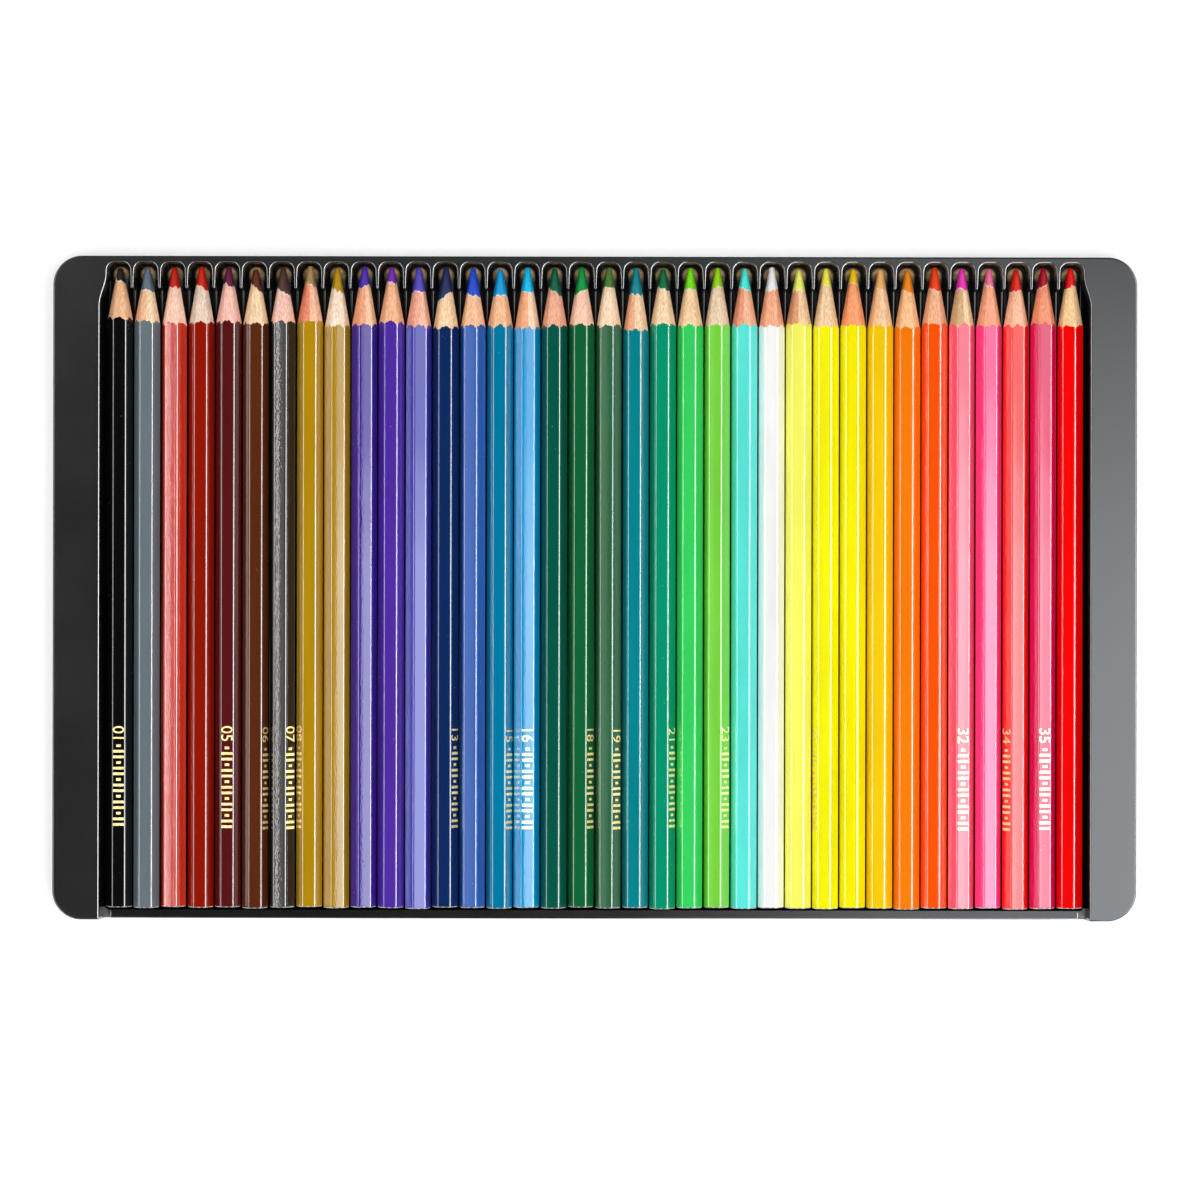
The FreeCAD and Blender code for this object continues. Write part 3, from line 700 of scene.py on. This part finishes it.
def floor_height(x, y):
    """Height of the ribbed floor, which rises into a bowl round each pencil's point."""
    aside = min(abs(x - centre) for centre in PENCIL_X)
    crest_share = min(max((aside - CHANNEL_REACH) / (PITCH / 2 - CHANNEL_REACH), 0), 1)
    if abs(x) > PENCIL_X[-1] + CHANNEL_REACH:
        return RIDGE_HEIGHT - SIDE_CHANNEL_DEPTH * min(crest_share * SIDE_WALL_DIVISOR, 1)
    into_bowl = max(y - BOWL_START, 0) / BOWL_LENGTH
    deep = CHANNEL_RADIUS ** 2 - aside ** 2 - (into_bowl * BOWL_REACH) ** 2
    highest = RIDGE_HEIGHT + (BOWL_TOP - RIDGE_HEIGHT) * min(into_bowl, 1)
    crest = CREST * crest_share * (2 - crest_share)
    return min(highest, CHANNEL_AXIS_HEIGHT - sqrt(max(deep, 0))) + crest


def raised_form(surface, points, height, fillet_of, foot_of, draft_of, edge_of, sheet_of, top_material=SATIN):
    """A flat-topped form with rounded upper edges and sloping sides, built down from its top.

    Its sides go on round their foot and up again inside, a sheet's thickness further in."""
    normals = outward_normals(points)

    def ring(place):
        made = []
        for index, (x, y) in enumerate(points):
            offset, z = place(index)
            made.append(Vector((x + normals[index].x * offset, y + normals[index].y * offset, z)))
        return surface.ring(made)

    before = ring(lambda index: (-fillet_of(index), height))
    surface.face(reversed(before), top_material, smooth=False)
    for step in range(1, FILLET_STEPS + 1):
        angle = pi / 2 * step / FILLET_STEPS
        across, down = 1 - sin(angle), 1 - cos(angle)
        after = ring(lambda index: (-fillet_of(index) * across, height - fillet_of(index) * down))
        surface.band(after, before, edge_of)
        before = after
    for share in (0.5, 1):
        def wall_place(index):
            drop = (height - fillet_of(index) - foot_of(index)) * share
            return tan(radians(draft_of(index))) * drop, height - fillet_of(index) - drop
        after = ring(wall_place)
        surface.band(after, before, GLOSS)
        before = after

    def inner_foot(index):
        offset, z = wall_place(index)
        return offset - sheet_of(index), z

    after = ring(inner_foot)
    surface.crease(before)
    surface.band(after, before, GLOSS)
    surface.crease(after)
    top = ring(lambda index: (-sheet_of(index) - fillet_of(index) / 2, height - sheet_of(index)))
    surface.band(top, after, SATIN)


def thicken(piece, thickness):
    """Give a sheet its thickness, towards its inner side."""
    shell = piece.modifiers.new("thickness", "SOLIDIFY")
    shell.thickness = thickness
    shell.offset = -1
    shell.material_offset = -2


def tray_pieces():
    """The thermoformed tray: the raised panel, the ribbed floor and the front ledge."""
    grainy, polished = 0.004 * MM, 0.0006 * MM
    materials = [
        plastic_material("tray_satin", 0.24, grainy, 0.56, 0.0),
        plastic_material("tray_gloss", 0.22, polished, 0.4, 0.15),
        plastic_material("tray_edge", 0.14, polished, 0.9, 1.0),
        bowl_material(PENCIL_X[0], PITCH, BOWL_START, POCKET_BACK),
        plastic_material("tray_ledge_satin", 0.24, grainy, 0.34, 0.0),
        plastic_material("tray_notch", 0.5, grainy, 1.0, 0.0),
    ]
    outline, outer_count = panel_outline()
    last = outer_count - 1
    finger_top = FINGER_END + FINGER_TIP_WIDTH

    def panel_fillet(index):
        if 0 < index < last:
            return RIM_FILLET
        x, y = outline[index]
        if abs(x) > PENCIL_X[-1] + PITCH / 2 - FINGER_WIDTH / 2 - TUCK:
            return EDGE_FILLET
        up_share = min(max((y - finger_top) / (POCKET_BACK - finger_top), 0), 1)
        return FINGER_FILLET + (EDGE_FILLET - FINGER_FILLET) * up_share

    panel = Surface()
    raised_form(
        panel,
        outline,
        tray_high.z,
        panel_fillet,
        lambda index: 0 if index <= last else floor_height(*outline[index]) - TUCK,
        lambda index: SKIRT_DRAFT if index <= last else WALL_DRAFT,
        lambda index: SATIN if index < last else EDGE,
        lambda index: FINGER_SHEET if index > last and abs(outline[index][0]) < PENCIL_X[-1] else SHEET,
    )
    panel_piece = panel.make("tray_panel", materials)

    floor = Surface()
    ridge_width = PITCH - 2 * CHANNEL_REACH
    side_step = (PITCH / 2 - CHANNEL_REACH) / SIDE_WALL_DIVISOR
    columns = [-RECESS_REACH - SHEET, PENCIL_X[0] - CHANNEL_REACH - side_step]
    for x in PENCIL_X:
        for step in range(CHANNEL_STEPS + 1):
            columns.append(x + CHANNEL_REACH * (2 * step / CHANNEL_STEPS - 1))
        if x != PENCIL_X[-1]:
            columns += [x + CHANNEL_REACH + ridge_width * share for share in RIDGE_SHARES]
    columns += [PENCIL_X[-1] + CHANNEL_REACH + side_step, RECESS_REACH + SHEET]
    rows = [POCKET_FRONT - SHEET]
    for step in range(BOWL_STEPS + 1):
        rows.append(BOWL_START + (BOWL_LENGTH + TUCK) * step / BOWL_STEPS)
    before = None
    for y in rows:
        after = floor.ring([Vector((x, y, floor_height(x, y))) for x in columns])
        if before:
            floor.band(after, before, BOWL if y > BOWL_START else GLOSS, closed=False)
        before = after
    floor_piece = floor.make("tray_floor", materials)
    thicken(floor_piece, SHEET)

    ledge_reach = RECESS_REACH - END_NOTCH_WIDTH
    ledge = Surface()
    ledge_outline = [(ledge_reach, tray_low.y), (-ledge_reach, tray_low.y), (-ledge_reach, POCKET_FRONT)]
    for x in PENCIL_X:
        left, right = x - PITCH / 2, x + PITCH / 2
        if x != PENCIL_X[0]:
            ledge_outline.append((left, POCKET_FRONT + BUTT_SCALLOP * CUSP_SHARE))
        corner_y = POCKET_FRONT + BUTT_SCALLOP
        ledge_outline += arc((left + BUTT_SCALLOP, corner_y), BUTT_SCALLOP, 180, 270, SCALLOP_STEPS)[1:]
        ledge_outline += arc((right - BUTT_SCALLOP, corner_y), BUTT_SCALLOP, 270, 360, SCALLOP_STEPS)[:-1]
    ledge_outline.append((ledge_reach, POCKET_FRONT))
    raised_form(
        ledge,
        ledge_outline,
        LEDGE_HEIGHT,
        lambda index: LEDGE_FILLET,
        lambda index: 0 if index < 2 else floor_height(*ledge_outline[index]) - TUCK,
        lambda index: SKIRT_DRAFT,
        lambda index: EDGE,
        lambda index: FINGER_SHEET,
        top_material=LEDGE,
    )
    for side in (-1, 1):
        near, far = sorted((side * (ledge_reach - NOTCH_FILLET), side * (RECESS_REACH + NOTCH_FILLET)))
        notch_back = POCKET_FRONT + SHEET
        notch_outline = [(far, tray_low.y), (near, tray_low.y), (near, notch_back), (far, notch_back)]
        raised_form(
            ledge,
            notch_outline,
            RIDGE_HEIGHT,
            lambda index: NOTCH_FILLET if index < 2 else TUCK / 2,
            lambda index: 0,
            lambda index: SKIRT_DRAFT if index < 2 else 0,
            lambda index: NOTCH,
            lambda index: FINGER_SHEET,
            top_material=NOTCH,
        )
    ledge_piece = ledge.make("tray_ledge", materials)
    return [panel_piece, floor_piece, ledge_piece]


for piece in tray_pieces():
    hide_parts("tray")
    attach(piece, "tray")

foil = foil_material()
cut_edge = cut_edge_material()
for number, pencil in enumerate(PENCILS, start=1):
    pencil_piece(number, pencil, foil, cut_edge)

# Lamps: name, centre, size, turns about X and Y in degrees, radiance, and what they light:
# "all", only what shines, or only what is dull
LAMPS = (
    ("right_softbox", (0.36, -0.42, 0.75), (0.52, 1.18), (0, 0), 1.8, "all"),
    ("right_glow", (0.36, -0.42, 0.745), (0.52, 1.14), (0, 0), 0.7, "shine"),
    ("right_glow_front", (0.36, -0.48, 0.74), (0.52, 1.08), (0, 0), 1.4, "shine"),
    ("right_glow_near", (0.36, -0.50, 0.735), (0.52, 1.05), (0, 0), 1.1, "shine"),
    ("right_core", (0.335, -0.46, 0.73), (0.07, 1.10), (0, 0), 1.6, "shine"),
    ("right_wall", (0.95, -0.1, 0.95), (0.6, 1.6), (0, 90), 21, "shine"),
    ("left_softbox", (-0.59, -0.05, 0.75), (0.34, 1.5), (0, 0), 1.3, "dull"),
    ("left_glow", (-0.59, -0.05, 0.745), (0.34, 1.5), (0, 0), 1.1, "shine"),
    ("left_core", (-0.63, -0.10, 0.74), (0.024, 1.4), (0, 0), 6.5, "shine"),
    ("left_core_inner", (-0.54, -0.10, 0.74), (0.026, 1.4), (0, 0), 7.0, "shine"),
    ("left_fringe", (-0.365, -0.05, 0.735), (0.11, 1.5), (0, 0), 0.8, "shine"),
    ("left_wall", (-0.95, -0.1, 0.92), (0.4, 1.6), (0, -90), 9.5, "shine"),
    ("back_fringe", (-0.25, 0.37, 0.75), (0.75, 0.38), (0, 0), 0.7, "shine"),
    ("front_wall", (0, -1.1, 0.5), (1.6, 0.5), (90, 0), 1.2, "shine"),
    ("overhead_fill", (0, 0, 1.3), (1.2, 1.2), (0, 0), 1.5, "dull"),
)

# The lamps named right_glow are a little blue
GLOW_COLOUR = (0.84, 0.93, 1.0)

# A lamp's energy is spread over this many times its area
ENERGY_SPREAD = 4


def add_lamp(name, centre, size, turns, radiance, lights):
    """A rectangular lamp that isn't seen by the camera itself."""
    lamp = bpy.data.lights.new(name, "AREA")
    lamp.shape = "RECTANGLE"
    lamp.size, lamp.size_y = size
    lamp.energy = radiance * ENERGY_SPREAD * size[0] * size[1]
    if name.startswith("right_glow"):
        lamp.color = GLOW_COLOUR
    holder = bpy.data.objects.new(name, lamp)
    holder.location = centre
    holder.rotation_euler = (radians(turns[0]), radians(turns[1]), 0)
    holder.visible_camera = False
    holder.visible_diffuse = lights != "shine"
    holder.visible_glossy = lights != "dull"
    bpy.context.scene.collection.objects.link(holder)


def pale_world():
    """Pale near the horizon and dark overhead, so that the black plastic stays black."""
    world = bpy.data.worlds.new("studio")
    world.use_nodes = True
    tree = world.node_tree
    background = tree.nodes["Background"]
    where = tree.nodes.new("ShaderNodeTexCoord")
    split = tree.nodes.new("ShaderNodeSeparateXYZ")
    ramp = tree.nodes.new("ShaderNodeValToRGB")
    tree.links.new(where.outputs["Generated"], split.inputs["Vector"])
    tree.links.new(split.outputs["Z"], ramp.inputs["Fac"])
    tree.links.new(ramp.outputs["Color"], background.inputs["Color"])
    stops = ((0.1, 0.9), (0.75, 0.012))
    for element, (height, grey) in zip(ramp.color_ramp.elements, stops):
        element.position = height
        element.color = (grey, grey, grey, 1)
    bpy.context.scene.world = world


def pale_floor():
    """A white floor that keeps the object's shadow."""
    reach = 3.0
    under = 0.2 * MM
    glow = 0.35
    corners = [(x * reach, y * reach, -under) for x, y in ((-1, -1), (1, -1), (1, 1), (-1, 1))]
    nodes = Nodes("floor_paper")
    nodes.set(Base_Color=(0.86, 0.86, 0.86, 1), Roughness=0.9, Specular_IOR_Level=0.1)
    ray = nodes.add("ShaderNodeLightPath").outputs
    straight = nodes.larger(ray["Is Camera Ray"], ray["Is Glossy Ray"])
    seen = nodes.larger(straight, ray["Is Transmission Ray"])
    nodes.shader.inputs["Emission Color"].default_value = (1, 1, 1, 1)
    nodes.put(nodes.shader.inputs["Emission Strength"], nodes.times(seen, glow))
    floor = new_piece("floor", corners, [(0, 1, 2, 3)], [nodes.material], [0], [False])


def overhead_camera():
    """A long lens straight above the tray, as the photograph was taken."""
    aim = Vector((1.45 * MM, -3.17 * MM, 7.5 * MM))
    distance = 1.1
    frame_width = 330.2 * MM
    sensor_width_mm = 36
    turn = 0.11
    lens_data = bpy.data.cameras.new("camera")
    lens_data.sensor_width = sensor_width_mm
    lens_data.lens = sensor_width_mm * distance / frame_width
    camera = bpy.data.objects.new("camera", lens_data)
    camera.location = aim + Vector((0, 0, distance))
    camera.rotation_euler = (0, 0, radians(turn))
    bpy.context.scene.collection.objects.link(camera)
    bpy.context.scene.camera = camera


for lamp in LAMPS:
    add_lamp(*lamp)
pale_world()
pale_floor()
overhead_camera()
bpy.context.scene.view_settings.view_transform = "Standard"

bpy.context.view_layer.update()
